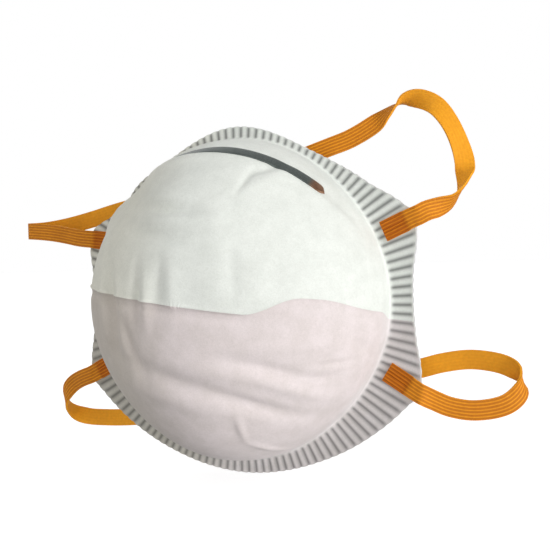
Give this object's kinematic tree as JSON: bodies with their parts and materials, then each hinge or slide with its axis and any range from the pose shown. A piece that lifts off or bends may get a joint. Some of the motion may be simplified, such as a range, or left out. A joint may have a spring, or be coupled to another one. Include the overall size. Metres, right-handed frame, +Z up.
{
  "type": "disposable dust mask",
  "caption": "Moulded cup dust mask with a flat ribbed rim, a seam across the cup, a metal nose clip, nose foam and elastic head straps.",
  "frame": {"origin": "centre of the face opening, on the back plane of the flat rim", "axes": "+Z up towards the nose, -Y the way the wearer looks, +Y towards the wearer's face, +X to the right of someone facing the mask"},
  "size_m": [0.2117, 0.0689, 0.1412],
  "materials": {
    "upper_cover_web": "white thermally bonded non-woven",
    "lower_cover_web": "off-white thermally bonded non-woven",
    "shell_felt": "stiff moulded needle felt",
    "meltblown_web": "soft white melt-blown filter web",
    "lining_web": "soft white non-woven lining",
    "clip_metal": "dull grey coated strip",
    "foam": "fine open-cell foam",
    "strap_elastic": "orange ribbed knitted elastic"
  },
  "bodies": {
    "mask": {"outer_cover_upper": "upper_cover_web", "outer_cover_lower": "lower_cover_web", "support_shell": "shell_felt", "meltblown_filter_front": "meltblown_web", "meltblown_filter_back": "meltblown_web", "inner_lining": "lining_web", "nose_clip": "clip_metal", "nose_foam": "foam", "upper_strap_end_left": "strap_elastic", "upper_strap_end_right": "strap_elastic", "lower_strap_end_left": "strap_elastic", "lower_strap_end_right": "strap_elastic"},
    "upper_strap": {"upper_strap": "strap_elastic"},
    "lower_strap": {"lower_strap": "strap_elastic"}
  },
  "joints": [
    {"name": "upper_strap_swing", "type": "hinge", "parent": "mask", "child": "upper_strap", "pos_m": [0, -0.0024, 0.029], "axis": [1, 0, 0], "range_deg": [-90, 15], "stiffness_Nm_per_rad": 0.02},
    {"name": "lower_strap_swing", "type": "hinge", "parent": "mask", "child": "lower_strap", "pos_m": [0, -0.0024, -0.0303], "axis": [1, 0, 0], "range_deg": [-20, 45], "stiffness_Nm_per_rad": 0.02}
  ]
}
